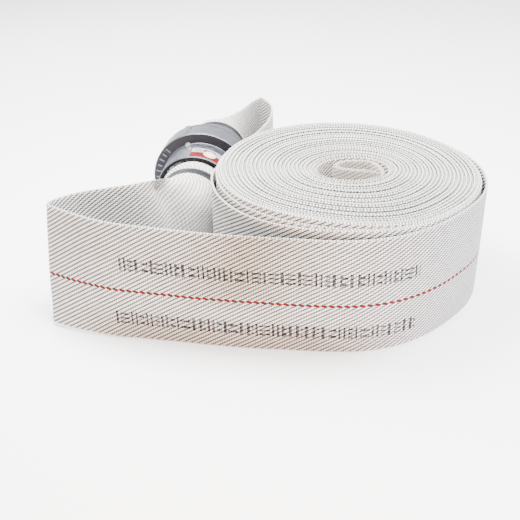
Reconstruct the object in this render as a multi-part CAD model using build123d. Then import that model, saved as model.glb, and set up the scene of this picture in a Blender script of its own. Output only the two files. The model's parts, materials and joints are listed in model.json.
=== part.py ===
from build123d import *
import os
from math import atan2, cos, degrees, pi, radians, sin

# A 65 mm lay-flat fire hose, folded in the middle and wound up double, standing on
# the edge of its roll. Its two ends are outside, each in a swivel coupling with
# internal lugs, and the couplings are locked to each other. Millimetres, +Z up.

# ---- driving dimensions -------------------------------------------------------------
HOSE_WIDTH = 104.0          # lay-flat width of the hose
ROLL_RADIUS = 119.5         # outside of the last two turns
RAISED_RADIUS = 116.0       # the turns inside them stand higher
RAISED_RIM = 4.0            # how much higher at their rim
RAISED_EYE = 7.5            # and at the eye
ROLL_CENTRE = (4.0, -4.5)   # of the roll, from the layout's own centre
EYE_CENTRE = (9.0, -6.0)
EYE_RADII = (33.0, 19.0)
EYE_MEAN_RADIUS = 26.0
HOSE_FLAT = 1.8             # thickness of the hose pressed flat in the roll
CORE_LENGTH = 38.0          # the folded start of the hose, inside the eye
CORE_THICKNESS = 20.0
CORE_SHIFT = 9.0
RUN_THICKNESS = 4.0         # a loose flat run of hose

TAIL_RADIUS = 31.75         # barbed tail that the hose is pushed over
TAIL_BORE = 28.0
LINING = 0.75               # wall of the hose's lining
JACKET = 1.1                # wall of its woven jacket

RING_RADIUS = 52.2          # lug ring
FLANGE = 14.0               # half of the joined pair of flanges
NECK_LENGTH = 33.6
NECK_BORE = 37.0
NECK_BASE_RADIUS = 41.4
NECK_FRONT_RADIUS = 40.7
RUNNING_FIT = 0.1           # radial play of the lug ring on its tail
FLOOR_GAP = 0.7             # under the lug rings, so that they turn freely

CLAW_ARC = 66.0             # each lug ring has two claws
CLAW_REACH = 9.4           # past the joint face
CLAW_INNER_RADIUS = 44.0
LOCKED_AT = 78.0            # where the other half's claw starts when locked
CHANNEL = (35.0, 145.0)     # open to the other half's claw
RIB_ARC = (104.0, 144.0)    # the ribs that the claws' lips hook behind
RIB_RADIUS = 43.5
RIB_DEPTHS = (1.0, 5.4)     # from the joint face
LIP_DEPTHS = (6.0, 9.4)
LIP_RADIUS = 40.1
PATTERN_TURN = -70.0        # turns the whole claw pattern about the axis

COUPLING_CENTRE = (-130.5, 122.3)
COUPLING_HEADING = 8.6     # degrees from +Y towards +X, from end A to end B

CLAMP_CENTRE = 66.2         # hose clamp, distance from the joint face
CLAMP_WIDTH = 10.0
CLAMP_BAND = 0.7
CLAMP_HOUSING_AT = 300.0    # degrees round the coupling's axis
SCREW_RADIUS = 4.0

# ---- derived dimensions -------------------------------------------------------------
NECK_END = FLANGE + NECK_LENGTH
HOSE_START = NECK_END - 6.0                # the hose reaches a little way into the neck
SLEEVE_END = 79.5
TAIL_END = 77.0
COLLAR_RADIUS = NECK_BORE - RUNNING_FIT
COLLAR_LENGTH = 26.0
LINING_RADIUS = TAIL_RADIUS + LINING
HOSE_RADIUS = LINING_RADIUS + JACKET
RING_AXIS_HEIGHT = RING_RADIUS + FLOOR_GAP
HALF_WIDTH = HOSE_WIDTH / 2
LOCKED_END = LOCKED_AT + CLAW_ARC
UNLOCK_TURN = LOCKED_AT - CHANNEL[0] - 1.0   # turn of one lug ring against the other
MIRROR_AXIS = (LOCKED_AT + LOCKED_END) / 4
FULL_DEPTH = FLANGE - 4.0                  # depth of the lug channel
GROOVE_DEPTH = 18.0                        # retaining wire, from the joint face
WIRE_RADIUS = 1.4
EPS = 0.01

heading = radians(COUPLING_HEADING)
along = Vector(sin(heading), cos(heading), 0)
# Local coupling frame: Z runs from end A to end B, Y is up, X points away from the roll.
joint_plane = Plane(
    origin=(COUPLING_CENTRE[0], COUPLING_CENTRE[1], RING_AXIS_HEIGHT),
    x_dir=(-along.Y, along.X, 0),
    z_dir=along,
)
# The half at end A has its flange on the -Z side. The half at end B is the same
# half turned over about an axis that lies in the joint face.
turned = radians(MIRROR_AXIS + PATTERN_TURN)
turn_over = Rotation(0, 0, degrees(turned)) * Rotation(180, 0, 0) * Rotation(0, 0, -degrees(turned))
half_a = joint_plane.location
half_b = joint_plane.location * turn_over


# ---- small helpers ------------------------------------------------------------------
def tube(inner, outer, low, high):
    """A tube about Z between two heights."""
    ring = Circle(outer) - Circle(inner)
    return extrude(Plane.XY.offset(low) * ring, high - low)


def disc(radius, low, high):
    return extrude(Plane.XY.offset(low) * Circle(radius), high - low)


def wedge(start, end, reach, low, high):
    """The sector between two angles in degrees, for cutting or keeping an arc."""
    steps = 8
    angles = [radians(start + (end - start) * i / steps) for i in range(steps + 1)]
    rim = [(reach * cos(a), reach * sin(a)) for a in angles]
    face = make_face(Polyline((0, 0), *rim, close=True))
    return extrude(Plane.XY.offset(low) * face, high - low)


def arc_block(inner, outer, start, end, low, high):
    """A piece of a tube between two angles."""
    return tube(inner, outer, low, high) & wedge(start, end, 2 * outer, low, high)


def spun(outline):
    """A solid of revolution about Z from (radius, height) corners."""
    face = make_face(Plane.XZ * Polyline(*outline, close=True))
    return revolve(face, Axis.Z)


def along_run(points, radii):
    """A flat upright run of hose along a plan route."""
    route = FilletPolyline(*[(x, y, HALF_WIDTH) for x, y in points], radius=radii)
    start = Plane(origin=route @ 0, x_dir=(0, 0, 1), z_dir=route % 0)
    section = start * RectangleRounded(HOSE_WIDTH, RUN_THICKNESS, RUN_THICKNESS * 0.4)
    return sweep(section, path=route)


def flattening(stations):
    """Hose that goes from round to flat: (x, y, height, heading, half height, half width)."""
    sections = []
    for x, y, z, direction, tall, wide in stations:
        tangent = (cos(radians(direction)), sin(radians(direction)), 0)
        plane = Plane(origin=(x, y, z), x_dir=(0, 0, 1), z_dir=tangent)
        sections.append(plane * Ellipse(tall, wide))
    return loft(sections, ruled=True)


# ---- the roll -----------------------------------------------------------------------
def make_roll():
    outline = [
        (0, RAISED_EYE),
        (RAISED_RADIUS - 12, 0),
        (ROLL_RADIUS, 0),
        (ROLL_RADIUS, HOSE_WIDTH),
        (RAISED_RADIUS, HOSE_WIDTH),
        (RAISED_RADIUS, HOSE_WIDTH + RAISED_RIM),
        (0, HOSE_WIDTH + RAISED_EYE),
    ]
    body = Pos(ROLL_CENTRE[0], ROLL_CENTRE[1], 0) * spun(outline)
    eye = Pos(EYE_CENTRE[0], EYE_CENTRE[1], -1) * extrude(Ellipse(*EYE_RADII), HOSE_WIDTH + 20)
    return body - eye


def make_core():
    slot = SlotOverall(CORE_LENGTH, CORE_THICKNESS)
    block = extrude(slot, HOSE_WIDTH)
    return Pos(EYE_CENTRE[0] + CORE_SHIFT, EYE_CENTRE[1], RAISED_EYE) * block


# ---- the loose runs of hose ---------------------------------------------------------
# Headings of the sleeves' ends, in degrees from +X.
HEADING_A = degrees(atan2(-along.Y, -along.X))
HEADING_B = degrees(atan2(along.Y, along.X))
SLEEVE_A_END = joint_plane.from_local_coords(Vector(0, 0, -SLEEVE_END))
SLEEVE_B_END = joint_plane.from_local_coords(Vector(0, 0, SLEEVE_END))
REAR_JOIN = (-55.0, 196.0)
FOLD = (-246.0, -21.2)       # where the back run meets the front run


def make_back_run():
    """End A from its sleeve to the sharp fold: the hose goes flat and turns left."""
    x, y, z = SLEEVE_A_END
    stations = [
        (x, y, z, HEADING_A, HOSE_RADIUS, HOSE_RADIUS - EPS),
        (-154, 22, 52, 245, 41, 25),
        (-166, 3, 52, 225, 48, 12),
        (-184, -9, 52, 203, 51.5, 3),
    ]
    flat = along_run([(-183.5, -8.8), (-206, -14.5), (-230, -17), FOLD], [60, 60])
    return flattening(stations) + flat


def make_front_run():
    """End A from the fold to the roll."""
    route = [FOLD, (-255.7, -23.7), (-258, -42), (-251, -57), (-236, -67), (-202, -82)]
    route += [(-160, -95), (-121, -106), (-78, -116.5), (-26, -125.2)]
    return along_run(route, [5, 12, 14, 18, 60, 60, 60, 60])


def make_rear_bend():
    """End B from its sleeve round the bend behind the roll."""
    x, y, z = SLEEVE_B_END
    stations = [
        (x, y, z, HEADING_B, HOSE_RADIUS, HOSE_RADIUS - EPS),
        (-111, 226, 51, 66, 40, 22),
        (-97, 241, 50, 30, 46, 10),
        (-80, 244, 52, -6, 51.5, 3),
    ]
    flat = along_run([(-80.5, 244), (-65, 241), (-56.5, 226), REAR_JOIN], [10, 12])
    return flattening(stations) + flat


def make_rear_run():
    """End B from the bend to the roll, past the lug rings."""
    route = [REAR_JOIN, (-54.2, 180), (-55.5, 155), (-60, 133), (-68, 112), (-79, 91), (-95, 66.5)]
    return along_run(route, [60, 60, 60, 60, 60])


# ---- one half of the coupling, with its flange on the -Z side ------------------------
def make_lug_ring():
    body = spun([
        (NECK_BORE, -NECK_END),
        (NECK_FRONT_RADIUS - 1.2, -NECK_END),
        (NECK_FRONT_RADIUS, -NECK_END + 1.2),
        (NECK_BASE_RADIUS, -FLANGE - 0.6),
        (NECK_BASE_RADIUS + 0.6, -FLANGE),
        (RING_RADIUS - 0.8, -FLANGE),
        (RING_RADIUS, -FLANGE + 0.8),
        (RING_RADIUS, -0.3),
        (NECK_BORE, -0.3),
    ])
    # The channel that the other half's claws lie in, and the ribs they hook behind.
    body -= tube(LIP_RADIUS - 0.6, CLAW_INNER_RADIUS, -FULL_DEPTH, 1)
    for side in (0, 180):
        open_arc = wedge(CHANNEL[0] + side, CHANNEL[1] + side, 2 * RING_RADIUS, -FULL_DEPTH, 1)
        body -= tube(CLAW_INNER_RADIUS - 0.5, RING_RADIUS + 1, -FULL_DEPTH, 1) & open_arc
        body += arc_block(LIP_RADIUS - 0.8, RIB_RADIUS, RIB_ARC[0] + side, RIB_ARC[1] + side,
                          -RIB_DEPTHS[1], -RIB_DEPTHS[0])
        claw_start = side - CLAW_ARC / 2
        claw_end = side + CLAW_ARC / 2
        body += arc_block(CLAW_INNER_RADIUS, RING_RADIUS, claw_start, claw_end,
                          -FLANGE + 4, CLAW_REACH)
        # The lip is the mirror image of the other half's rib.
        lip_start = 2 * MIRROR_AXIS - RIB_ARC[1] + side
        lip_end = 2 * MIRROR_AXIS - RIB_ARC[0] + side
        body += arc_block(LIP_RADIUS, CLAW_INNER_RADIUS + 1, lip_start, lip_end, *LIP_DEPTHS)
    # Half of the groove for the retaining wire, and the hole it is fed in through.
    body = Rotation(0, 0, PATTERN_TURN) * body
    body -= Pos(0, 0, -GROOVE_DEPTH) * Torus(NECK_BORE - RUNNING_FIT / 2, WIRE_RADIUS + 0.1)
    body -= plug_place() * extrude(Circle(3.05), 8)
    # Plain raised bars cast on the flange's face.
    for i in range(7):
        angle = -4 + 8 * i
        bar = Pos(46.9, 0, -FLANGE - 0.25) * Box(5.6 - i % 2, 1.4, 0.7)
        body += Rotation(0, 0, angle) * bar
    return body


def plug_place():
    """Radial place of the wire plug on the neck, looking outwards."""
    angle = radians(75)
    out = Vector(cos(angle), sin(angle), 0)
    return Plane(origin=out * (NECK_BORE + 1.8) + Vector(0, 0, -GROOVE_DEPTH), z_dir=out).location


def make_wire_plug():
    shank = extrude(Circle(3.0), 4.2)
    head = Pos(0, 0, 4.2) * extrude(Circle(3.0), 1.6, taper=25)
    slot = Pos(0, 0, 5.6) * Box(4.2, 0.7, 0.9)
    return plug_place() * (shank + head - slot)


def make_tail():
    body = spun([
        (TAIL_BORE, -TAIL_END),
        (TAIL_RADIUS - 1.2, -TAIL_END),
        (TAIL_RADIUS - 0.4, -TAIL_END + 2),
        (TAIL_RADIUS - 0.4, -COLLAR_LENGTH),
        (COLLAR_RADIUS, -COLLAR_LENGTH),
        (COLLAR_RADIUS, -0.6),
        (TAIL_BORE, -0.6),
    ])
    # Barbs that grip the lining.
    pitch = 6.0
    barbs = int((TAIL_END - HOSE_START - 6) / pitch)
    for i in range(barbs):
        low = -TAIL_END + 4 + i * pitch
        body += spun([
            (TAIL_RADIUS - 1.0, low),
            (TAIL_RADIUS - 0.4, low),
            (TAIL_RADIUS, low + pitch - 1.5),
            (TAIL_RADIUS - 1.0, low + pitch - 1.5),
        ])
    body -= tube(28.8, 34.7, -4.2, 1)
    return body - Pos(0, 0, -GROOVE_DEPTH) * Torus(NECK_BORE - RUNNING_FIT / 2, WIRE_RADIUS + 0.1)


def make_seal():
    return spun([
        (28.9, -4.1), (34.6, -4.1), (34.6, -1.4), (33.4, -1.4), (32.6, -0.1),
        (30.4, -0.1), (29.8, -1.4), (28.9, -1.4),
    ])


def make_circlip():
    """The retaining wire, open by a few degrees."""
    wire = Torus(NECK_BORE - RUNNING_FIT / 2, WIRE_RADIUS)
    return Pos(0, 0, -GROOVE_DEPTH) * (wire - wedge(262, 270, 60, -3, 3))


def make_lining():
    return tube(TAIL_RADIUS + EPS, LINING_RADIUS, -SLEEVE_END, -HOSE_START)


def make_sleeve():
    return tube(LINING_RADIUS + EPS, HOSE_RADIUS, -SLEEVE_END, -HOSE_START)


# ---- hose clamp ---------------------------------------------------------------------
CLAMP_LOW = -CLAMP_CENTRE - CLAMP_WIDTH / 2
CLAMP_HIGH = -CLAMP_CENTRE + CLAMP_WIDTH / 2
BAND_RADIUS = HOSE_RADIUS + CLAMP_BAND
SCREW_DISTANCE = BAND_RADIUS + CLAMP_BAND + SCREW_RADIUS + 0.3
SCREW_LENGTH = 21.0


def make_clamp_band():
    band = tube(HOSE_RADIUS + EPS, BAND_RADIUS, CLAMP_LOW, CLAMP_HIGH)
    tail = arc_block(BAND_RADIUS - 0.1, BAND_RADIUS + CLAMP_BAND, CLAMP_HOUSING_AT - 24,
                     CLAMP_HOUSING_AT + 62, CLAMP_LOW, CLAMP_HIGH)
    # Slots that the worm screw's thread engages.
    for i in range(20):
        angle = CLAMP_HOUSING_AT - 20 + 4.0 * i
        slot = Pos(BAND_RADIUS + CLAMP_BAND, 0, -CLAMP_CENTRE) * Box(CLAMP_BAND, 1.3, 6.6)
        tail -= Rotation(0, 0, angle) * slot
    return band + tail


def clamp_place():
    """Centre of the worm screw: local Z along the screw, X outwards."""
    angle = radians(CLAMP_HOUSING_AT)
    out = Vector(cos(angle), sin(angle), 0)
    side = Vector(-sin(angle), cos(angle), 0)
    centre = out * SCREW_DISTANCE + Vector(0, 0, -CLAMP_CENTRE)
    return Plane(origin=centre, x_dir=out, z_dir=side).location


def make_clamp_housing():
    length = 15.0
    shell = Box(9.4, CLAMP_WIDTH + 3.0, length)
    shell = fillet(shell.edges().filter_by(Axis.Z).sort_by(Axis.X)[-2:], 4.0)
    bore = Cylinder(SCREW_RADIUS + 0.08, length + 2)
    # Room for the curved band below.
    round_hose = Pos(-SCREW_DISTANCE, 0, 0) * Rotation(90, 0, 0)
    room = round_hose * Cylinder(BAND_RADIUS + CLAMP_BAND + 0.15, CLAMP_WIDTH + 6)
    legs = Pos(-5.4, 0, 0) * Box(3.0, CLAMP_WIDTH + 3.0, 9.0)
    return clamp_place() * (shell + legs - bore - room)


def make_clamp_screw():
    core = Cylinder(SCREW_RADIUS - 0.9, SCREW_LENGTH)
    thread = 9
    pitch = 1.6
    for i in range(thread):
        low = -(thread - 1) / 2 * pitch + i * pitch
        core += Pos(0, 0, low) * Cylinder(SCREW_RADIUS, 0.8)
    head_low = SCREW_LENGTH / 2 - 1.5
    hexagon = Pos(0, 0, head_low) * extrude(RegularPolygon(4.6, 6), 5.0)
    collar = Pos(0, 0, head_low - 0.6) * extrude(Circle(5.2), 0.8)
    slot = Pos(0, 0, head_low + 4.8) * Box(8.0, 1.1, 2.0)
    return clamp_place() * (core + hexagon + collar - slot)


# ---- sticker on end A's neck --------------------------------------------------------
def make_neck_label():
    """A thin curved sticker that follows the neck's taper."""
    low = -NECK_END + 2.0
    high = -NECK_END + 21.5
    slope = (NECK_BASE_RADIUS - NECK_FRONT_RADIUS) / (NECK_LENGTH - 1.8)

    def neck_radius(height):
        return NECK_FRONT_RADIUS + slope * (height + NECK_END - 1.2)

    skin = spun([
        (neck_radius(low) + 0.02, low),
        (neck_radius(low) + 0.22, low),
        (neck_radius(high) + 0.22, high),
        (neck_radius(high) + 0.02, high),
    ])
    return skin & wedge(84, 128, 60, -NECK_END, 0)


# ---- the assembly -------------------------------------------------------------------
nodes = {
    "hose_roll": make_roll(),
    "hose_core": make_core(),
    "hose_back_run": make_back_run(),
    "hose_front_run": make_front_run(),
    "hose_rear_bend": make_rear_bend(),
    "hose_rear_run": make_rear_run(),
    "neck_label": half_a * make_neck_label(),
}
half_parts = {
    "hose_sleeve": make_sleeve(),
    "lining_end": make_lining(),
    "tail": make_tail(),
    "lug_ring": make_lug_ring(),
    "seal": make_seal(),
    "circlip": make_circlip(),
    "wire_plug": make_wire_plug(),
    "clamp_band": make_clamp_band(),
    "clamp_housing": make_clamp_housing(),
    "clamp_screw": make_clamp_screw(),
}
for name, shape in half_parts.items():
    nodes[name + "_a"] = half_a * shape
    nodes[name + "_b"] = half_b * shape

# The origin is on the floor, in the middle of the footprint.
footprint = Compound(children=[Part() + shape for shape in nodes.values()]).bounding_box()
to_origin = Pos(-footprint.center().X, -footprint.center().Y, 0)

os.makedirs("parts", exist_ok=True)
for name, shape in nodes.items():
    export_step(to_origin * shape, f"parts/{name}.step")
    print(f"{name:18s} {shape.volume / 1000:9.2f} cm3")
turns = (ROLL_RADIUS - EYE_MEAN_RADIUS) / HOSE_FLAT
wound = pi * (ROLL_RADIUS ** 2 - EYE_MEAN_RADIUS ** 2) / HOSE_FLAT
print(f"{turns:.0f} turns, {wound / 1000:.1f} m of hose in the roll")
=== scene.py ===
import json
import random
from collections import namedtuple
from math import cos, pi, radians, sin

import bmesh
import bpy
import numpy as np
from mathutils import Matrix, Vector, noise


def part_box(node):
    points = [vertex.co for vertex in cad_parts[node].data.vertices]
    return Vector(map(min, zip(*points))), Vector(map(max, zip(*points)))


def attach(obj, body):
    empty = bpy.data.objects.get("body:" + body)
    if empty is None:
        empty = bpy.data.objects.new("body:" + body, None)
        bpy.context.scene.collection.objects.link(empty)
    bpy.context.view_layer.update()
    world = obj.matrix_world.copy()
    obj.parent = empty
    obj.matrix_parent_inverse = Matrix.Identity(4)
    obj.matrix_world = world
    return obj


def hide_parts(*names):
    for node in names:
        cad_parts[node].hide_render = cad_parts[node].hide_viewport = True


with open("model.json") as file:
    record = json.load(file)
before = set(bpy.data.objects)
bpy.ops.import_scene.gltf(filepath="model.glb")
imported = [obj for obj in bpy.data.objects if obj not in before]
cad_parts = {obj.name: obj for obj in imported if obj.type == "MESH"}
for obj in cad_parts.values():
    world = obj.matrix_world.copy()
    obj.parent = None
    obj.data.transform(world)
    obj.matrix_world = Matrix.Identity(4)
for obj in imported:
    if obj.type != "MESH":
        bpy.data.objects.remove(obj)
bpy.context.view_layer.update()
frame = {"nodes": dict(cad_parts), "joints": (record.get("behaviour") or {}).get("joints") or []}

MM = 0.001

# ---- where things stand, from the frame ---------------------------------------------
roll_low, roll_high = (Vector(corner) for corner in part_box("hose_roll"))
ROLL_CENTRE = (4.0, -4.5)        # of the roll, in the layout's own plan
EYE_CENTRE = (9.0, -8.0)
layout = (roll_low + roll_high) / 2 - Vector((ROLL_CENTRE[0], ROLL_CENTRE[1], 0)) * MM
layout.z = 0
ROLL_RADIUS = (roll_high.x - roll_low.x) / 2 / MM
joints = {joint["name"]: joint for joint in frame["joints"]}
coupling_centre = Vector(joints["coupling_swivel"]["pos_m"])
coupling_axis = Vector(joints["coupling_swivel"]["axis"]).normalized()


def plan(x, y, z=0.0):
    """A point of the layout, in millimetres, as a point of the frame, in metres."""
    return layout + Vector((x, y, z)) * MM


# ---- camera -------------------------------------------------------------------------
def make_camera():
    """At the photograph's viewing angle: elevation, tilt and distance in plain numbers."""
    elevation = radians(30.44)
    tilt = radians(-2.12)
    distance = 0.62685
    target = plan(-74.9, -60.8, 52.0)
    back = Vector((0, -cos(elevation), sin(elevation)))
    right = Vector((1, 0, 0))
    up = back.cross(right)
    tilted_right = right * cos(tilt) + up * sin(tilt)
    tilted_up = up * cos(tilt) - right * sin(tilt)
    axes = Matrix((tilted_right, tilted_up, back)).transposed().to_4x4()
    data = bpy.data.cameras.new("camera")
    data.sensor_width = 36.0
    data.lens = 50.55
    data.clip_start = 0.01
    camera = bpy.data.objects.new("camera", data)
    camera.matrix_world = Matrix.Translation(target + back * distance) @ axes
    bpy.context.collection.objects.link(camera)
    bpy.context.scene.camera = camera


# ---- the hose: one strip from end A, through the roll, to end B ----------------------
# Lengths are in millimetres and angles in degrees, up to the materials.
WALL = 0.9                       # one wall of the hose, jacket and lining
FLAT_WIDTH = 104.0
HALF_ROUND = FLAT_WIDTH - 2 * WALL   # half the hose's girth, along the middle of its wall
CREASE = WALL * pi / 2           # half the way round a folded edge
HALF_GIRTH = HALF_ROUND + 2 * CREASE
GIRTH = 2 * HALF_GIRTH           # round the outside of the pressed hose
FLAT = 0.010                     # half angle of a side, in radians, when it is pressed flat
ROUND = 1.54                     # and when it is round over its tail
LINING_RADIUS = 32.52            # inside of the hose where it is round
LAYER = 1.85                     # radial step from one turn to the next
TURN_STEP = 15                   # between the spiral's points
SLEEVE = (41.6, 79.5)            # along the coupling's axis, from the joint face
A_START = -97.0                  # the spiral is counted from here
A_TOUCH = -58.0                  # where end A's strand meets the roll
B_TOUCH = -208.0                 # and end B's
INNER_RADIUS = 27.0
SPIRAL_RADIUS = ROLL_RADIUS - WALL - 0.5 * LAYER
HIDDEN_AFTER = 400               # turns further in than this show only their edges
FINE_POINTS = 25                 # on one side of a ring of the hose that shows
COARSE_POINTS = 3                # and of one that is hidden
SAMPLE_GAP = 4.0                 # along the hose, where it shows
HIDDEN_STEPS = 3                 # between two points of the spiral, where it is hidden
CREASE_POINTS = 3
lift_noise = random.Random(7)
TURN_JITTER = [lift_noise.uniform(-0.7, 0.7) for _ in range(80)]   # two for each turn


def station(x, y, lean=(0.0, 0.0), z=52.0, opened=FLAT, girth=1.0):
    """One point of the strip: its middle, its width direction, how open it is and how
    far it is stretched. lean is how far the top edge stands off the bottom, in plan."""
    return [x, y, z, lean[0], lean[1], FLAT_WIDTH, opened, girth]


def sleeve(side):
    """Over the tail, from the joint outwards; side is -1 for end A and +1 for end B.
    The hose is squeezed by its clamp and swells on both sides of it."""
    rows = []
    for depth, girth in ((SLEEVE[0], 1.02), (49, 1.05), (55, 1.068), (61, 0.990),
                         (71.4, 0.990), (75, 1.008), (SLEEVE[1], 1.0)):
        middle = (coupling_centre - layout) / MM + coupling_axis * depth * side
        rows.append(station(middle.x, middle.y, (0, 0), middle.z, ROUND, girth))
    return rows


def spiral_station(turn_angle, strand):
    """A point of the double spiral. strand is +1 for end A's and -1 for end B's."""
    radius = SPIRAL_RADIUS - 2 * LAYER * (turn_angle - A_START) / 360
    depth = (SPIRAL_RADIUS - radius) / (SPIRAL_RADIUS - INNER_RADIUS)
    inwards = max(0.0, min(1.0, depth))
    radius += strand * LAYER / 2
    angle = radians(turn_angle)
    # Turns near the eye are drawn in to the folded start, and are a little oval.
    middle_x = ROLL_CENTRE[0] + (EYE_CENTRE[0] - ROLL_CENTRE[0]) * inwards
    middle_y = ROLL_CENTRE[1] + (EYE_CENTRE[1] - ROLL_CENTRE[1]) * inwards
    oval = 0.10 * inwards ** 3
    lift = turn_lift(turn_angle, strand, 1 - inwards)
    radius += dent(turn_angle, strand, 1 - inwards)
    x = middle_x + radius * (1 + oval) * cos(angle)
    y = middle_y + radius * (1 - oval) * sin(angle)
    return station(x, y, (0, 0), 52.0 + lift)


def turns_in(turn_angle):
    """Turns inwards from where the spiral is counted."""
    return (turn_angle - A_START) / 360


def dent(turn_angle, strand, outwards):
    """How far a turn stands off its true spiral. The roll is pressed in a little at its
    left and its right front, and the last turns hang loose round it."""
    turns = turns_in(turn_angle)
    settled = smooth_step(turns, 0.3, 0.75)
    off = -1.5 * outwards * settled * hump(turn_angle, -168, 30)
    off -= 3.2 * outwards * hump(turn_angle, -47, 17)
    loose = 1 - smooth_step(turns, 0.4, 0.6)
    if strand > 0:
        off += loose * 4.0 * hump(turn_angle, 0, 30)
    else:
        off += loose * 1.5 * hump(turn_angle, -176, 26)
    return off


def hump(angle, middle, width):
    """A smooth rise of 1 about an angle, the same on every turn, in degrees."""
    away = (angle - middle + 180) % 360 - 180
    return np.exp(-(away / width) ** 2)


def smooth_step(value, low, high):
    """0 below low, 1 above high, and a smooth rise between."""
    share = np.clip((value - low) / (high - low), 0.0, 1.0)
    return share * share * (3 - 2 * share)


def turn_lift(turn_angle, strand, outwards):
    """How high a turn stands. The roll leans up at its left front, and its last turns
    have slid back down."""
    turns = turns_in(turn_angle)
    whole = 7.5 - 4.5 * outwards * cos(radians(turn_angle + 10))
    whole += 4.5 * outwards * hump(turn_angle, -112, 34)
    if strand > 0:
        slid = 0.62 * smooth_step(turns, 0.22, 0.5) + 0.38 * smooth_step(turns, 1.0, 1.25)
    else:
        slid = 0.2 * smooth_step(turns, -0.36, -0.2) + 0.42 * smooth_step(turns, -0.15, 0.06)
        slid += 0.38 * smooth_step(turns, 0.6, 0.92)
    jitter = np.interp(turns * 2 + (0 if strand > 0 else 1), range(len(TURN_JITTER)), TURN_JITTER)
    # End B's strand sits a little deeper than end A's beside it.
    jitter -= 0.7 + 0.7 * -strand
    return slid * whole + smooth_step(turns, 0.9, 1.3) * jitter


def strand_a():
    """End A, from its coupling: back run, sharp fold, front run."""
    return sleeve(-1) + [
        station(-153, 22, (-4, 4), 52.2, 1.12),
        station(-165, 3, (-2, 8), 52, 0.62),
        station(-182, -10, (0, 10), 52, 0.22),
        station(-203, -19, (0, 16), 52, 0.06),
        station(-230, -30, (0, 28), 52, 0.03),
        station(-249, -40.5, (2, 37), 51.4, 0.02),
        station(-256.5, -46.5, (3, 39), 51.2, 0.012),
        station(-257, -51, (3, 39), 51.2, 0.012),
        station(-247.5, -59, (2, 36), 51.4, 0.02),
        station(-230, -70, (0, 28), 51.8, 0.02),
        station(-202, -84, (0, 15), 52, 0.02),
        station(-160, -96, (0, 9), 52, 0.02),
        station(-121, -106, (0, 5), 52, 0.02),
        station(-82, -114.5, (0, 3), 52, 0.015),
        station(-46, -120.5, (0, 1), 52, FLAT),
        station(-20, -124.5, (0, 0), 52, FLAT),
        station(3, -125.5, (0, 0), 52, FLAT),
        station(28, -121.5, (0, 0), 52, FLAT),
    ]


def strand_b():
    """End B, from the roll: near run, sharp corner, kinked tube, coupling."""
    return [
        station(-97, 65, (-2, 2), 52.5, FLAT),
        station(-80, 91, (-4, 4), 52.3, FLAT),
        station(-70, 109, (-5, 3), 52, 0.015),
        station(-62, 132, (-3, 2), 52, 0.02),
        station(-57, 157, (-1, 1), 52, 0.02),
        station(-55.5, 181, (0, 0), 52, 0.03),
        station(-57.5, 200, (0, 0), 52.2, 0.03),
        station(-62.5, 213, (0, 0), 52.4, 0.03),
        station(-67.5, 221, (1, -1), 52.6, 0.03),
        station(-70, 222, (2, -2), 52.4, 0.03, 0.99),
        station(-79, 219, (4, -6), 51.0, 0.06, 0.97),
        station(-90, 216, (6, -8), 47.8, 0.30, 0.92),
        station(-102, 214, (3, -4), 44.2, 0.80, 0.92),
        station(-111.5, 209.5, (0, 0), 46.8, 1.25, 0.95),
    ] + sleeve(1)[::-1]


def eye_fold():
    """The double strand in the eye, to its hairpin, and back."""
    middle = [(33, -4), (28, 7), (14, 12), (0, 10), (-5, 3), (2, -3), (14, -6), (27, -10)]
    out, back = [], []
    for i, (x, y) in enumerate(middle):
        before = Vector(middle[max(i - 1, 0)])
        after = Vector(middle[min(i + 1, len(middle) - 1)])
        run = (after - before).normalized()
        side = Vector((run.y, -run.x)) * LAYER * 0.62
        out.append(station(x + side.x, y + side.y, (0, 0), 59.0 - 0.4 * i, 0.02))
        back.append(station(x - side.x, y - side.y, (0, 0), 59.3 - 0.4 * i, 0.02))
    hairpin = [station(31, -11.5, (0, 0), 55.5, 0.02)]
    return out + hairpin + back[::-1]


def hose_stations():
    """All points of the strip, and the first and last of the hidden ones."""
    end_angle = A_START + 360 * (SPIRAL_RADIUS - INNER_RADIUS) / (2 * LAYER)
    end_angle = 360 * int(end_angle / 360) - 30.0
    spiral_a = np.arange(A_TOUCH, end_angle, TURN_STEP)
    spiral_b = np.arange(end_angle - 6, B_TOUCH, -TURN_STEP)
    rows = strand_a() + [spiral_station(angle, 1) for angle in spiral_a]
    first_hidden = len(strand_a()) + int(HIDDEN_AFTER / TURN_STEP)
    rows += eye_fold()
    rows += [spiral_station(angle, -1) for angle in spiral_b]
    last_hidden = len(rows) - int(HIDDEN_AFTER / TURN_STEP)
    rows += strand_b()
    return np.array(rows), first_hidden, last_hidden


def smooth_rows(rows, steps):
    """A smooth curve through the stations, with steps[i] samples between two of them."""
    gaps = np.linalg.norm(np.diff(rows[:, :3], axis=0), axis=1)[:, None]
    slopes = np.diff(rows, axis=0) / gaps
    tangents = np.vstack([
        slopes[:1],
        (slopes[:-1] * gaps[1:] + slopes[1:] * gaps[:-1]) / (gaps[1:] + gaps[:-1]),
        slopes[-1:],
    ])
    samples = []
    for i, count in enumerate(steps):
        for k in range(count):
            t = k / count
            h00 = 2 * t ** 3 - 3 * t ** 2 + 1
            h10 = t ** 3 - 2 * t ** 2 + t
            h01 = 3 * t ** 2 - 2 * t ** 3
            h11 = t ** 3 - t ** 2
            samples.append(h00 * rows[i] + h10 * gaps[i] * tangents[i]
                           + h01 * rows[i + 1] + h11 * gaps[i] * tangents[i + 1])
    samples.append(rows[-1])
    return np.array(samples)


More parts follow.
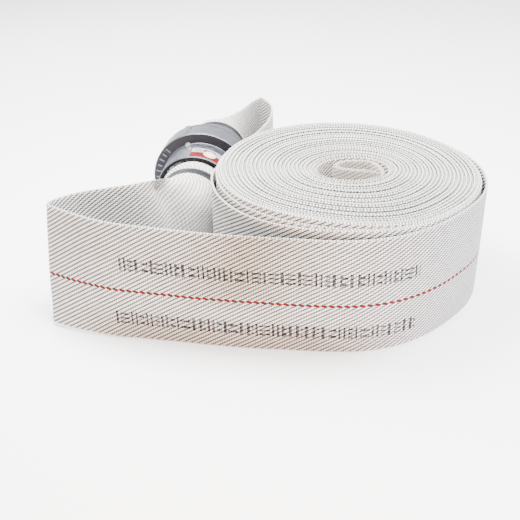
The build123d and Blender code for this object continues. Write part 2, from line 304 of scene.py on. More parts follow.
def section(opened, girth, side_points):
    """Offsets across and up, and the way round, of the hose's outside, all in mm.
    Each side is an arc; the two meet in the creases of the lay-flat hose."""
    radius = HALF_ROUND * girth / (2 * opened)
    share = np.linspace(-1, 1, side_points)
    angles = share * opened
    cap = np.linspace(opened, pi - opened, CREASE_POINTS + 2)[1:-1]
    across = radius * (np.cos(angles) - cos(opened)) + WALL * np.cos(angles)
    up = radius * np.sin(angles) + WALL * np.sin(angles)
    top_across = WALL * np.cos(cap)
    top_up = radius * sin(opened) + WALL * np.sin(cap)
    way = (share + 1) / 2 * HALF_ROUND
    crease = np.array([0.5, 1.0, 1.5]) * CREASE
    out_across = np.concatenate([across, top_across, -across, -top_across])
    out_up = np.concatenate([up, top_up, -up, -top_up])
    one_side = np.concatenate([way, HALF_ROUND + crease])
    return out_across, out_up, np.concatenate([one_side, one_side + HALF_GIRTH])


# A ring of the mesh: way is how far round each vertex is, along how far along the hose.
Ring = namedtuple("Ring", "verts way along")


def sampled_strip():
    """Samples along the strip, and which of them show."""
    rows, first_hidden, last_hidden = hose_stations()
    gaps = np.linalg.norm(np.diff(rows[:, :3], axis=0), axis=1)
    shows = np.ones(len(gaps), bool)
    shows[first_hidden:last_hidden] = False
    steps = [max(2, round(gap / SAMPLE_GAP)) if seen else HIDDEN_STEPS
             for gap, seen in zip(gaps, shows)]
    return smooth_rows(rows, steps), np.concatenate([np.repeat(shows, steps), [True]])


def hose_rings(mesh):
    """A ring of vertices round the hose at each sample."""
    samples, shows = sampled_strip()
    centres = samples[:, :3]
    tangents = np.gradient(centres, axis=0)
    tangents /= np.linalg.norm(tangents, axis=1)[:, None]
    ups = samples[:, 3:6] / np.linalg.norm(samples[:, 3:6], axis=1)[:, None]
    acrosses = np.cross(tangents, ups)
    acrosses /= np.linalg.norm(acrosses, axis=1)[:, None]
    strides = np.linalg.norm(np.diff(centres, axis=0), axis=1)
    lengths = np.concatenate([[0], np.cumsum(strides)])
    rings = []
    for i, centre in enumerate(centres):
        opened, girth = samples[i, 6], samples[i, 7]
        across, up, way = section(opened, girth, FINE_POINTS if shows[i] else COARSE_POINTS)
        if shows[i]:
            across, up = crumpled(across, up, way, lengths[i], lengths[-1], opened)
        points = centre + np.outer(across, acrosses[i]) + np.outer(up, ups[i])
        rings.append(Ring([mesh.verts.new(plan(*point)) for point in points], way, lengths[i]))
    return rings


def corner(ring, k):
    """Vertex k of a ring, with its place in the weave. After the last comes the first."""
    count = len(ring.verts)
    way = ring.way[k] if k < count else GIRTH + ring.way[0]
    return ring.verts[k % count], ring.along, way


def add_face(mesh, weave, corners):
    """A smooth face. A corner is a vertex, how far along it is and how far round."""
    face = mesh.faces.new([vert for vert, _, _ in corners])
    face.smooth = True
    for loop, (_, along, way) in zip(face.loops, corners):
        loop[weave].uv = (along * MM, way * MM)


def join_rings(mesh, weave, ring, next_ring):
    count, next_count = len(ring.verts), len(next_ring.verts)
    if count == next_count:
        for k in range(count):
            add_face(mesh, weave, [corner(ring, k), corner(next_ring, k),
                                   corner(next_ring, k + 1), corner(ring, k + 1)])
        return
    # A ring with more points meets one with fewer: the extra points share a face.
    few, many = (ring, next_ring) if count < next_count else (next_ring, ring)
    match = matching_points(len(few.verts), len(many.verts))
    for k, (low, high) in enumerate(zip(match, match[1:] + [len(many.verts)])):
        corners = [corner(few, k + 1), corner(few, k)]
        corners += [corner(many, j) for j in range(low, high + 1)]
        if count < next_count:
            corners = corners[::-1]
        add_face(mesh, weave, corners)


def make_hose():
    mesh = bmesh.new()
    weave = mesh.loops.layers.uv.new("weave")
    rings = hose_rings(mesh)
    for ring, next_ring in zip(rings, rings[1:]):
        join_rings(mesh, weave, ring, next_ring)
    close_end(mesh, weave, rings[0], -1)
    close_end(mesh, weave, rings[-1], 1)
    bmesh.ops.recalc_face_normals(mesh, faces=mesh.faces)
    data = bpy.data.meshes.new("hose")
    mesh.to_mesh(data)
    mesh.free()
    hose = bpy.data.objects.new("hose", data)
    bpy.context.collection.objects.link(hose)
    return hose, rings[-1].along * MM


def crumpled(across, up, way, along, whole, opened):
    """Soft waves in the loose strands, and lengthwise wrinkles where a tube flattens."""
    from_end = min(along, whole - along)
    loose = smooth_step(from_end, 60, 110) * (1 - smooth_step(from_end, 380, 460))
    wave = np.array([noise.noise(Vector((along / 34, height / 30, 3.0))) for height in up])
    wave *= 1.1 * loose
    wrinkled = smooth_step(from_end, 38, 52) * (1 - smooth_step(from_end, 110, 170))
    wrinkled *= smooth_step(opened, 0.2, 1.0)
    fold = np.array([noise.noise(Vector((turn / 7.5, along / 60, 8.0))) for turn in way])
    fold *= 1.5 * wrinkled
    reach = np.hypot(across, up)
    if along < 200:
        # A soft valley where end A's tube turns into the back run, and a swelling before it.
        near_side = smooth_step(way, 103, 110) * (1 - smooth_step(way, 150, 200))
        valley = 11.0 * np.exp(-((along - 80) / 9.0) ** 2)
        swelling = 2.5 * np.exp(-((along - 55) / 10.0) ** 2)
        pressed = (valley - swelling) * near_side
        across = across + pressed
        up = up - 0.5 * pressed * smooth_step(way, 100, 104)
    return across + wave + fold * across / reach, up + fold * up / reach


def matching_points(few, many):
    """For each point of a coarse ring, the same point of a fine ring."""
    side_few = few // 2 - CREASE_POINTS
    side_many = many // 2 - CREASE_POINTS
    skip = (side_many - 1) // (side_few - 1)
    match = []
    for start in (0, many // 2):
        match += [start + skip * k for k in range(side_few)]
        match += [start + side_many + k for k in range(CREASE_POINTS)]
    return match


def close_end(mesh, weave, ring, side):
    """The hose's open end: its wall, and the bore that its tail sits in. side is -1 for
    end A and +1 for end B."""
    outwards = coupling_axis * side * MM
    mouth_centre = coupling_centre + outwards * SLEEVE[0]
    bottom_centre = coupling_centre + outwards * (SLEEVE[1] + 0.4)
    mouth, bottom = [], []
    for vert in ring.verts:
        out = (vert.co - mouth_centre).normalized() * LINING_RADIUS * MM
        mouth.append(mesh.verts.new(mouth_centre + out))
        bottom.append(mesh.verts.new(bottom_centre + out * 0.999))
    at_mouth = Ring(mouth, ring.way, ring.along)
    wall = (ring, at_mouth._replace(along=ring.along + 1.0))
    bore = (at_mouth, Ring(bottom, ring.way, ring.along + 40.0))
    for k in range(len(ring.verts)):
        for near, far in (wall, bore):
            corners = [corner(near, k), corner(near, k + 1), corner(far, k + 1), corner(far, k)]
            add_face(mesh, weave, corners[::-1] if side > 0 else corners)
    rim = bottom[::-1] if side > 0 else bottom
    add_face(mesh, weave, [(vert, ring.along, way) for vert, way in zip(rim, ring.way)])


# ---- materials ----------------------------------------------------------------------
class Graph:
    """Short names for the shader nodes of one material."""

    def __init__(self, name, metallic=0.0, roughness=0.5, **settings):
        self.material = bpy.data.materials.new(name)
        self.material.use_nodes = True
        self.nodes = self.material.node_tree.nodes
        self.links = self.material.node_tree.links
        self.shader = self.nodes["Principled BSDF"]
        self.shader.inputs["Metallic"].default_value = metallic
        self.shader.inputs["Roughness"].default_value = roughness
        for socket, value in settings.items():
            self.shader.inputs[socket.replace("_", " ").title()].default_value = value

    def put(self, socket, value):
        if isinstance(value, bpy.types.NodeSocket):
            self.links.new(value, socket)
        else:
            socket.default_value = value

    def math(self, operation, *values, clamp=False):
        node = self.nodes.new("ShaderNodeMath")
        node.operation = operation
        node.use_clamp = clamp
        for socket, value in zip(node.inputs, values):
            self.put(socket, value)
        return node.outputs[0]

    def add(self, a, b):
        return self.math("ADD", a, b)

    def times(self, a, b):
        return self.math("MULTIPLY", a, b)

    def ramp(self, value, low, high, to_low=0.0, to_high=1.0):
        """value from low..high to to_low..to_high, smoothly, and flat outside."""
        node = self.nodes.new("ShaderNodeMapRange")
        node.interpolation_type = "SMOOTHSTEP"
        for socket, entry in zip(node.inputs, (value, low, high, to_low, to_high)):
            self.put(socket, entry)
        return node.outputs[0]

    def inside(self, value, low, high, soft):
        """1 between low and high, 0 outside, over a soft edge."""
        rise = self.ramp(value, low - soft, low + soft)
        return self.times(rise, self.ramp(value, high - soft, high + soft, 1.0, 0.0))

    def mix(self, share, a, b):
        node = self.nodes.new("ShaderNodeMix")
        node.data_type = "RGBA"
        self.put(node.inputs[0], share)
        self.put(node.inputs[6], a if isinstance(a, bpy.types.NodeSocket) else (*a, 1))
        self.put(node.inputs[7], b if isinstance(b, bpy.types.NodeSocket) else (*b, 1))
        return node.outputs[2]

    def shade(self, colour, amount):
        """colour times a plain amount."""
        node = self.nodes.new("ShaderNodeVectorMath")
        node.operation = "SCALE"
        self.put(node.inputs[0], colour)
        self.put(node.inputs["Scale"], amount)
        return node.outputs[0]

    def mix_value(self, share, first, second):
        rest = self.math("SUBTRACT", 1.0, share)
        return self.add(self.times(share, second), self.times(rest, first))

    def vector(self, x=0.0, y=0.0, z=0.0):
        node = self.nodes.new("ShaderNodeCombineXYZ")
        for socket, value in zip(node.inputs, (x, y, z)):
            self.put(socket, value)
        return node.outputs[0]

    def split(self, vector):
        node = self.nodes.new("ShaderNodeSeparateXYZ")
        self.put(node.inputs[0], vector)
        return node.outputs

    def place(self, kind="Object"):
        return self.nodes.new("ShaderNodeTexCoord").outputs[kind]

    def uv(self, name):
        node = self.nodes.new("ShaderNodeUVMap")
        node.uv_map = name
        return node.outputs[0]

    def noise(self, vector, scale, detail=2.0, roughness=0.5):
        """A cloudy value about 0.5."""
        node = self.nodes.new("ShaderNodeTexNoise")
        self.put(node.inputs["Vector"], vector)
        node.inputs["Scale"].default_value = scale
        node.inputs["Detail"].default_value = detail
        node.inputs["Roughness"].default_value = roughness
        return node.outputs[0]

    def chance(self, vector):
        """A random number for each whole-numbered vector."""
        node = self.nodes.new("ShaderNodeTexWhiteNoise")
        self.put(node.inputs["Vector"], vector)
        return node.outputs[0]

    def dot(self, vector, direction):
        node = self.nodes.new("ShaderNodeVectorMath")
        node.operation = "DOT_PRODUCT"
        self.put(node.inputs[0], vector)
        node.inputs[1].default_value = direction
        return node.outputs["Value"]

    def bump(self, height, distance, strength=1.0, under=None):
        node = self.nodes.new("ShaderNodeBump")
        node.inputs["Strength"].default_value = strength
        node.inputs["Distance"].default_value = distance
        self.put(node.inputs["Height"], height)
        if under is not None:
            self.put(node.inputs["Normal"], under)
        return node.outputs[0]

    def finish(self, colour, roughness=None, normal=None):
        self.put(self.shader.inputs["Base Color"], colour)
        if roughness is not None:
            self.put(self.shader.inputs["Roughness"], roughness)
        if normal is not None:
            self.put(self.shader.inputs["Normal"], normal)
        return self.material


# ---- the jacket: along and around the hose, in metres --------------------------------
YARNS = 174                      # warp yarns round the hose
YARN = GIRTH / YARNS * MM
REPEAT = 6.0 * MM                # of the three-shaft twill along the hose
BEAD = 2.7 * MM                  # weft loops along a crease
TRACER_ROW = 36                  # the coloured warp yarn
MARK_PERIOD = 0.76               # the ink marks come round again
MARK_START = 0.264               # of their first row, along the hose
MARK_LENGTH = 0.254
MARK_ROWS = ((0.0170, 0.0, 7.0), (0.0665, -0.008, 3.0))   # height, shift, seed
MARK_HEIGHT = 0.0118
MARK_CELL = 0.0134
FRONT_SHADE = (0.245, 0.475)           # the stretch of the front run with painted warm shade
EYE = (0.10, 0.42)               # from the hose's middle: the folded start and what is round it
COUPLED = (0.055, 0.135)         # from an end: round over its tail, and flat again
LOOSE_ENDS = 1.75                # from an end: not pressed between other turns
INK = (0.008, 0.009, 0.018)


def jacket_material(hose_length):
    """A woven jacket: twill of round yarns, a red tracer, ink marks, creases rubbed pale with a painted
    highlight.
    """
    g = Graph("woven jacket", roughness=0.78, sheen_weight=0.04, sheen_roughness=0.5)
    g.shader.inputs["Specular IOR Level"].default_value = 0.12
    along, around, _ = g.split(g.uv("weave"))
    from_middle = g.math("ABSOLUTE", g.add(along, -hose_length / 2))
    eye = g.ramp(from_middle, *EYE, 1.0, 0.0)
    from_edge = distance_from_crease(g, around)

    # A warp yarn lies over two picks and under the third.
    row = g.times(around, 1 / YARN)
    yarn = g.math("FLOOR", row)
    turn = g.math("SUBTRACT", g.times(along, 1 / REPEAT), g.times(yarn, 1 / 3))
    phase = g.math("FRACT", turn)
    lift = float_lift(g, phase)
    cross = g.math("ABSOLUTE", g.add(g.times(g.math("FRACT", row), 2.0), -1.0))
    cross = g.math("SQRT", g.math("SUBTRACT", 1.0, g.times(cross, cross), clamp=True))
    pick = g.times(g.math("ABSOLUTE", g.add(phase, -5 / 6)), 6.0)
    pick = g.times(g.math("SUBTRACT", 1.0, g.times(pick, pick), clamp=True), 0.30)
    height = g.math("MAXIMUM", g.times(lift, cross), pick)

    cloth = cloth_colour(g, along, around, from_edge, eye)
    lot = g.chance(g.vector(yarn, g.math("FLOOR", turn), 0.0))
    cloth = g.shade(cloth, g.ramp(lot, 0.0, 1.0, 0.90, 1.05))
    worn = g.ramp(g.noise(g.place(), 420.0, 2.0), 0.35, 0.6, 0.7, 1.0)
    ink = g.times(g.times(ink_marks(g, along, around), worn), 0.97)
    cloth = g.mix(ink, cloth, INK)
    light = weave_light(g, lift, cross, along, from_edge, from_middle, hose_length / 2, eye)
    cloth = g.shade(cloth, light)
    cloth = g.shade(cloth, roll_light(g, along, from_edge, from_middle, hose_length / 2))
    cloth = traced(g, cloth, along, row)

    fuzz = g.noise(g.vector(g.times(along, 5.0), around), 2600.0, 3.0)
    normal = g.bump(height, 0.00042, 0.9, g.bump(fuzz, 0.00012, 0.5))
    return g.finish(cloth, g.ramp(fuzz, 0.3, 0.7, 0.70, 0.88), normal)


def distance_from_crease(g, around):
    """From the nearer of the hose's two folded edges."""
    half = HALF_GIRTH * MM
    share = g.math("FRACT", g.times(g.add(around, CREASE * MM), 1 / half))
    return g.times(g.math("MINIMUM", share, g.math("SUBTRACT", 1.0, share)), half)


def cloth_colour(g, along, around, from_edge, eye):
    """Undyed polyester: clouded, soiled, rubbed pale along its folded edges with a painted
    highlight there, painted warm shade on the front run, and painted warm shade deep in the eye."""
    place = g.place()
    cloud = g.ramp(g.noise(place, 9.0, 3.0), 0.3, 0.7)
    cloth = g.mix(cloud, (0.80, 0.785, 0.755), (0.75, 0.72, 0.685))
    soil = g.ramp(g.noise(place, 34.0, 4.0, 0.6), 0.56, 0.78, 0.0, 0.35)
    cloth = g.mix(soil, cloth, (0.60, 0.55, 0.49))
    # Along the creases: rubbed pale, plus a painted highlight where the folded edge catches light.
    cloth = g.mix(g.ramp(from_edge, 0.001, 0.004, 0.6, 0.0), cloth, (0.93, 0.92, 0.90))
    # Painted warm shade on the front run's facing side: along its lower edge and in a slanting band
    # above it.
    low = g.ramp(around, 0.006, 0.034, 0.75, 0.0)
    slope = g.add(along, g.times(around, -0.35))
    high = g.ramp(around, 0.026, 0.056, 0.0, 0.85)
    band = g.times(g.inside(slope, 0.315, 0.385, 0.045), high)
    stain_and_painted_shade = g.times(g.math("MAXIMUM", low, band), g.inside(along, *FRONT_SHADE, 0.05))
    stain_and_painted_shade = g.times(stain_and_painted_shade, g.math("LESS_THAN", around, HALF_GIRTH * MM))
    cloth = g.mix(stain_and_painted_shade, cloth, (0.46, 0.375, 0.30))
    # Painted warm shade deep in the eye.
    return g.mix(g.times(eye, 0.7), cloth, (0.58, 0.50, 0.42))


def weave_light(g, lift, cross, along, from_edge, from_middle, middle, eye):
    """Little light reaches the valleys between the twill's ribs, or between two yarns.
    Where the hose is round, and in the eye, the painted valley shade is lighter; along a crease the
    weave shows as beads."""
    # Lighter painted valley shade on the round tube, where it is strongly lit, and in the eye.
    rounded = g.ramp(from_middle, middle - COUPLED[1], middle - COUPLED[0], 0.0, 0.42)
    opened = g.math("MAXIMUM", rounded, g.times(eye, 0.5))
    valley = g.math("MAXIMUM", g.ramp(lift, 0.0, 0.85, 0.07, 1.0), opened)
    valley = g.times(valley, g.ramp(cross, 0.1, 0.8, 0.55, 1.0))
    bead = g.math("FRACT", g.times(along, 1 / BEAD))
    bead = g.math("ABSOLUTE", g.add(g.times(bead, 2.0), -1.0))
    bead = g.ramp(bead, 0.25, 0.75, 1.0, 0.24)
    return g.mix_value(g.ramp(from_edge, 0.0008, 0.0022, 1.0, 0.0), valley, bead)


def roll_light(g, along, from_edge, from_middle, middle):
    """Inside the roll only the creases catch light, and end B's strand less than end A's."""
    in_roll = g.inside(from_middle, 0.45, middle - LOOSE_ENDS, 0.1)
    sunk = g.mix_value(g.math("GREATER_THAN", along, middle), 1.0, 0.72)
    tight = g.times(g.ramp(from_edge, 0.0007, 0.0020, 1.0, 0.25), sunk)
    return g.mix_value(in_roll, 1.0, tight)


def traced(g, cloth, along, row):
    """The tracer is a thicker yarn, in its own place in the twill."""
    phase = g.math("FRACT", g.add(g.times(along, 1 / REPEAT), -TRACER_ROW / 3))
    away = g.math("ABSOLUTE", g.add(row, -(TRACER_ROW + 0.5)))
    tracer = g.times(g.ramp(away, 0.85, 1.00, 1.0, 0.0), g.ramp(float_lift(g, phase), 0.05, 0.25))
    # Darker red towards the yarn's sides: painted shade on the round yarn.
    red = g.mix(g.ramp(away, 0.1, 0.8), (0.13, 0.0005, 0.001), (0.07, 0.0003, 0.0006))
    return g.mix(tracer, cloth, red)


def float_lift(g, phase):
    """1 where a warp yarn lies on top, falling to 0 where it dips under a pick."""
    away = g.times(g.math("ABSOLUTE", g.add(phase, -1 / 3)), 3.0)
    return g.math("SUBTRACT", 1.0, g.math("POWER", away, 2.4), clamp=True)


def two_or_three(g, chance):
    return g.add(g.math("FLOOR", g.times(chance, 1.99)), 2.0)


def ink_marks(g, along, around):
    """Plain ink bars in two rows, in place of print: no letters and no figures."""
    marks = 0.0
    round_again = g.math("FRACT", g.times(g.add(along, -MARK_START), 1 / MARK_PERIOD))
    start = g.times(round_again, MARK_PERIOD)
    for place_up, shift, seed in MARK_ROWS:
        length = g.add(start, shift)
        cell = g.math("FLOOR", g.times(length, 1 / MARK_CELL))
        across = g.math("FRACT", g.times(length, 1 / MARK_CELL))
        rise = g.times(g.add(around, -(CREASE * MM + place_up)), 1 / MARK_HEIGHT)
        first, second, third = [g.chance(g.vector(cell, seed, float(k))) for k in (1, 2, 3)]
        # A cell has two or three posts, then as many bars, and a gap after them.
        posts = g.times(across, g.times(two_or_three(g, first), 1.12))
        posts = g.math("LESS_THAN", g.math("FRACT", posts), 0.42)
        bars = g.times(g.add(rise, 0.5), two_or_three(g, second))
        bars = g.math("LESS_THAN", g.math("FRACT", g.add(bars, -0.2)), 0.40)
        middle = g.math("LESS_THAN", across, g.ramp(third, 0.0, 1.0, 0.2, 0.75))
        stroke = g.mix_value(middle, bars, posts)
        stroke = g.times(stroke, g.math("LESS_THAN", across, 0.88))
        row = g.math("LESS_THAN", g.math("ABSOLUTE", rise), 0.5)
        begun = g.math("GREATER_THAN", length, 0.0)
        present = g.times(g.math("LESS_THAN", start, MARK_LENGTH), begun)
        marks = g.add(marks, g.times(g.times(stroke, row), present))
    return marks


# ---- the coupling: depths from its joint face, in metres, and angles in radians --------
FLANGE = 14.0 * MM               # the lug rings' outer faces
NECK_END = 47.6 * MM
NECK_BORE = (39.6 * MM, 40.2 * MM)   # the mouth's edge, from painted shadow to the cast colour
CLAMP_CENTRE = 66.2 * MM
CLAMP_SLOT = 3.2 * MM            # half the length of a slot in the band
STICKER_RADIUS = 41.0 * MM
STICKER_SPLIT = 36.0 * MM        # the edge of the sticker's red part
STICKER_TAB = (1.77, 2.07)       # angles of the part where the red reaches further back
STICKER_TAB_END = 28.5 * MM
STICKER_PANEL = (1.55, 1.72)     # angles of its grey panel
STICKER_PANEL_DEPTH = (27.5 * MM, 34.5 * MM)
STICKER_DISC = (1.94, 36.8 * MM, 6.6 * MM)   # angle, depth and radius
STICKER_RING = (0.62, 0.76)      # shares of the disc's radius


def round_coupling(g):
    """Depth, angle and radius about the coupling's axis, in metres and radians."""
    node = g.nodes.new("ShaderNodeVectorMath")
    node.operation = "SUBTRACT"
    g.put(node.inputs[0], g.place())
    node.inputs[1].default_value = coupling_centre
    from_centre = node.outputs[0]
    side = coupling_axis.cross(Vector((0, 0, 1)))
    depth = g.dot(from_centre, coupling_axis)
    across = g.dot(from_centre, -side)
    up = g.dot(from_centre, (0, 0, 1))
    angle = g.math("ARCTAN2", up, across)
    radius = g.math("SQRT", g.add(g.times(across, across), g.times(up, up)))
    return depth, angle, radius


def cast_material():
    """Lug rings: turned outside, satin neck, flat faces painted dark with painted shade and dark
    reflection on a rougher cast finish, and a painted shadow in the neck's mouth.
    """
    g = Graph("cast alloy", metallic=0.85)
    depth, angle, radius = round_coupling(g)
    # The flat faces across the axis get painted shade and dark reflection, on a rougher cast finish.
    facing = g.math("ABSOLUTE", g.dot(g.place("Normal"), coupling_axis))
    off_face = g.math("ABSOLUTE", g.add(g.math("ABSOLUTE", depth), -FLANGE))
    face = g.times(g.ramp(facing, 0.75, 0.95), g.ramp(off_face, 0.00015, 0.0003, 1.0, 0.0))
    place = g.place()
    mottle = g.noise(place, 160.0, 5.0, 0.65)
    grain = g.noise(place, 1900.0, 3.0)
    turned = g.noise(g.vector(g.times(depth, 3200.0), g.times(angle, 0.6), 0.0), 1.0, 3.0)
    bright = g.mix(mottle, (0.120, 0.126, 0.150), (0.180, 0.188, 0.216))
    bright = g.shade(bright, g.ramp(turned, 0.25, 0.75, 0.90, 1.06))
    # Dark copy of the alloy for the flat faces: painted shade and dark reflection.
    dark = g.mix(mottle, (0.030, 0.029, 0.034), (0.055, 0.053, 0.060))
    colour = g.mix(face, bright, dark)
    # A painted shadow, near black, on the mouth's edge inside the neck.
    mouth = g.ramp(g.math("ABSOLUTE", depth), NECK_END - 0.0004, NECK_END - 0.0001)
    mouth = g.times(mouth, g.ramp(radius, *NECK_BORE, 1.0, 0.0))
    colour = g.mix(mouth, colour, (0.010, 0.010, 0.012))
    scuff = g.vector(g.times(angle, 9.0), g.times(depth, 420.0), 0.0)
    scuff = g.ramp(g.noise(scuff, 1.0, 4.0), 0.60, 0.75)
    colour = g.mix(g.times(scuff, 0.25), colour, (0.20, 0.20, 0.23))
    roughness = g.add(g.times(face, 0.22), g.ramp(mottle, 0.3, 0.7, 0.30, 0.46))
    turned_bump = g.bump(turned, 0.00006, 0.5)
    return g.finish(colour, roughness, g.bump(grain, 0.00010, 0.5, turned_bump))


def turned_material():
    """Coupling tails: machined all over, with fine tool marks round the axis."""
    g = Graph("machined alloy", metallic=1.0)
    depth, angle, radius = round_coupling(g)
    rings = g.vector(g.times(depth, 2600.0), g.times(radius, 2600.0), g.times(angle, 0.4))
    rings = g.noise(rings, 1.0, 3.0)
    colour = g.mix(rings, (0.56, 0.57, 0.59), (0.72, 0.73, 0.74))
    stain_and_painted_shade = g.ramp(g.noise(g.place(), 90.0, 4.0), 0.5, 0.8, 0.0, 0.4)
    colour = g.mix(stain_and_painted_shade, colour, (0.42, 0.42, 0.43))
    return g.finish(colour, g.ramp(rings, 0.2, 0.8, 0.22, 0.40), g.bump(rings, 0.00008, 0.6))


def rubber_material():
    g = Graph("seal rubber", roughness=0.55)
    dust = g.ramp(g.noise(g.place(), 300.0, 5.0, 0.7), 0.5, 0.75)
    colour = g.mix(dust, (0.018, 0.018, 0.019), (0.060, 0.058, 0.055))
    grain = g.noise(g.place(), 1500.0, 2.0)
    return g.finish(colour, g.ramp(dust, 0.0, 1.0, 0.5, 0.8), g.bump(grain, 0.00010, 0.4))


def steel_material(name, light, dark, roughness):
    """Drawn or rolled steel with streaks along the wire or round the part."""
    g = Graph(name, metallic=1.0)
    depth, angle, radius = round_coupling(g)
    streak = g.vector(g.times(depth, 1500.0), g.times(radius, 1500.0), g.times(angle, 3.0))
    streak = g.noise(streak, 1.0, 3.0)
    blotch = g.noise(g.place(), 220.0, 4.0)
    colour = g.mix(streak, dark, light)
    darker = tuple(0.6 * channel for channel in dark)
    colour = g.mix(g.ramp(blotch, 0.55, 0.8, 0.0, 0.35), colour, darker)
    dulled = g.ramp(blotch, 0.3, 0.7, roughness, roughness + 0.16)
    return g.finish(colour, dulled, g.bump(streak, 0.00005, 0.5))


def band_material():
    """Clamp bands: rolled stainless strip with the worm's slanted slots pressed in, painted near black
    with painted shade.
    """
    g = Graph("stainless band", metallic=1.0)
    depth, angle, _ = round_coupling(g)
    from_middle = g.add(g.math("ABSOLUTE", depth), -CLAMP_CENTRE)
    slant = g.add(g.times(angle, 37.0), g.times(from_middle, 260.0))
    slot = g.inside(g.math("FRACT", slant), 0.28, 0.72, 0.06)
    slot = g.times(slot, g.inside(from_middle, -CLAMP_SLOT, CLAMP_SLOT, 0.0003))
    streak = g.noise(g.vector(g.times(depth, 2400.0), g.times(angle, 1.5), 0.0), 1.0, 3.0)
    colour = g.mix(streak, (0.055, 0.060, 0.075), (0.13, 0.135, 0.155))
    # The slots are painted near black: painted shade in the recesses.
    colour = g.mix(g.times(slot, 0.9), colour, (0.006, 0.007, 0.010))
    roughness = g.add(g.times(slot, 0.3), g.ramp(streak, 0.3, 0.7, 0.20, 0.34))
    rolled = g.bump(streak, 0.00004, 0.4)
    return g.finish(colour, roughness, g.bump(g.times(slot, -1.0), 0.0003, 0.8, rolled))


def lining_material():
    """The bonded lining: a thin, slightly yellow, smooth plastic film."""
    g = Graph("lining film", roughness=0.35)
    cloud = g.noise(g.place(), 70.0, 3.0)
    colour = g.mix(cloud, (0.62, 0.57, 0.42), (0.70, 0.66, 0.53))
    ribs = g.noise(g.place(), 800.0, 2.0)
    return g.finish(colour, g.ramp(cloud, 0.3, 0.7, 0.28, 0.45), g.bump(ribs, 0.0001, 0.4))


def sticker_material():
    """A plain sticker: red along its front edge, pale behind, a white disc across both."""
    g = Graph("printed sticker", roughness=0.5)
    g.shader.inputs["Specular IOR Level"].default_value = 0.12
    depth, angle, _ = round_coupling(g)
    deep = g.math("ABSOLUTE", depth)
    wrinkle = g.noise(g.place(), 260.0, 3.0)
    pale = g.mix(wrinkle, (0.17, 0.20, 0.25), (0.30, 0.31, 0.35))
    panel = g.times(g.inside(angle, *STICKER_PANEL, 0.01), g.inside(deep, *STICKER_PANEL_DEPTH, 0.0003))
    pale = g.mix(panel, pale, (0.16, 0.20, 0.25))
    front = g.ramp(deep, STICKER_SPLIT - 0.0003, STICKER_SPLIT + 0.0003)
    tab = g.ramp(deep, STICKER_TAB_END, STICKER_TAB_END + 0.0005)
    tab = g.times(g.inside(angle, *STICKER_TAB, 0.01), tab)
    red = g.mix(wrinkle, (0.105, 0.0005, 0.0003), (0.145, 0.0008, 0.0005))
    colour = g.mix(g.math("MAXIMUM", front, tab), pale, red)

    disc_angle, disc_depth, disc_radius = STICKER_DISC
    reach_round = g.times(g.add(angle, -disc_angle), STICKER_RADIUS)
    reach_deep = g.add(deep, -disc_depth)
    reach = g.add(g.times(reach_round, reach_round), g.times(reach_deep, reach_deep))
    reach = g.math("SQRT", reach)
    disc = g.ramp(reach, disc_radius - 0.0004, disc_radius, 0.9, 0.0)
    colour = g.mix(disc, colour, (0.66, 0.60, 0.60))
    ring = g.inside(reach, *(disc_radius * share for share in STICKER_RING), 0.0002)
    colour = g.mix(ring, colour, (0.50, 0.10, 0.08))
    return g.finish(colour, g.ramp(wrinkle, 0.3, 0.7, 0.42, 0.56), g.bump(wrinkle, 0.0002, 0.5))


def dress(material, *names):
    """Gives CAD nodes their material."""
    for name in names:
        for slot in frame["nodes"][name].material_slots:
            slot.material = material


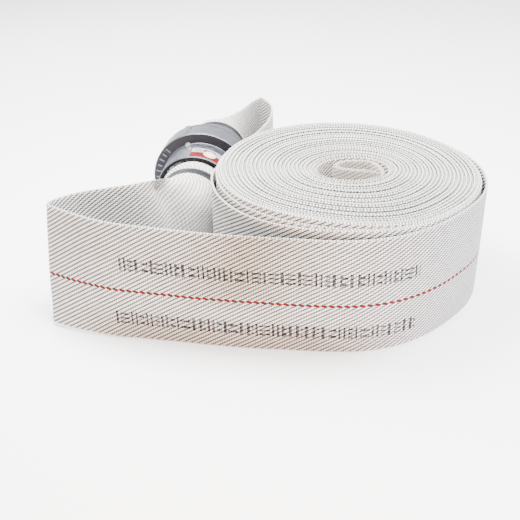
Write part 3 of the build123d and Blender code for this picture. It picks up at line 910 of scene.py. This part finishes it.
def dress_metal():
    dress(cast_material(), "lug_ring_a", "lug_ring_b")
    dress(turned_material(), "tail_a", "tail_b")
    dress(rubber_material(), "seal_a", "seal_b")
    dress(steel_material("spring wire", (0.55, 0.55, 0.56), (0.36, 0.36, 0.38), 0.28),
          "circlip_a", "circlip_b")
    dress(steel_material("plug steel", (0.66, 0.67, 0.69), (0.48, 0.49, 0.51), 0.30),
          "wire_plug_a", "wire_plug_b")
    dress(band_material(), "clamp_band_a", "clamp_band_b")
    dress(steel_material("housing steel", (0.60, 0.61, 0.62), (0.44, 0.45, 0.47), 0.24),
          "clamp_housing_a", "clamp_housing_b")
    dress(steel_material("screw steel", (0.58, 0.56, 0.50), (0.40, 0.38, 0.34), 0.30),
          "clamp_screw_a", "clamp_screw_b")
    dress(lining_material(), "lining_end_a", "lining_end_b")
    dress(sticker_material(), "neck_label")


# ---- floor and light ----------------------------------------------------------------
def make_stage():
    """A plain pale floor and an even white surround."""
    mesh = bmesh.new()
    bmesh.ops.create_grid(mesh, x_segments=1, y_segments=1, size=6.0)
    data = bpy.data.meshes.new("floor")
    mesh.to_mesh(data)
    mesh.free()
    floor = bpy.data.objects.new("floor", data)
    bpy.context.collection.objects.link(floor)
    g = Graph("floor", roughness=0.9)
    cloud = g.noise(g.place(), 1.5, 2.0)
    data.materials.append(g.finish(g.mix(cloud, (0.93, 0.93, 0.93), (0.96, 0.96, 0.96))))
    world = bpy.data.worlds.new("studio")
    bpy.context.scene.world = world
    world.use_nodes = True
    world.node_tree.nodes["Background"].inputs["Color"].default_value = (1, 1, 1, 1)
    world.node_tree.nodes["Background"].inputs["Strength"].default_value = 1.9


def area_light(name, place, size, power, colour=(1, 1, 1)):
    """A soft light that looks at the middle of the object."""
    data = bpy.data.lights.new(name, "AREA")
    data.shape = "SQUARE"
    data.size = size
    data.energy = power
    data.color = colour
    light = bpy.data.objects.new(name, data)
    light.location = place
    aim = Vector((0, 0, 0.05)) - Vector(place)
    light.rotation_euler = aim.to_track_quat("-Z", "Y").to_euler()
    bpy.context.collection.objects.link(light)


# ---- the scene ------------------------------------------------------------------------
make_camera()
hose, hose_length = make_hose()
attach(hose, "hose")
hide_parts("hose_roll", "hose_core", "hose_back_run", "hose_front_run", "hose_rear_bend",
            "hose_rear_run", "hose_sleeve_a", "hose_sleeve_b")
hose.data.materials.append(jacket_material(hose_length))
dress_metal()

make_stage()
area_light("key", (0.45, -0.05, 1.40), 0.7, 78)
area_light("rim", (-0.55, 0.75, 1.05), 0.7, 34)
area_light("above", (-0.14, 0.02, 0.60), 0.22, 10.0)
area_light("warm", (-0.02, -0.62, 0.12), 0.2, 3.6, (1.0, 0.52, 0.22))
area_light("cool", (0.42, -0.55, 0.10), 0.2, 2.6, (0.34, 0.58, 1.0))
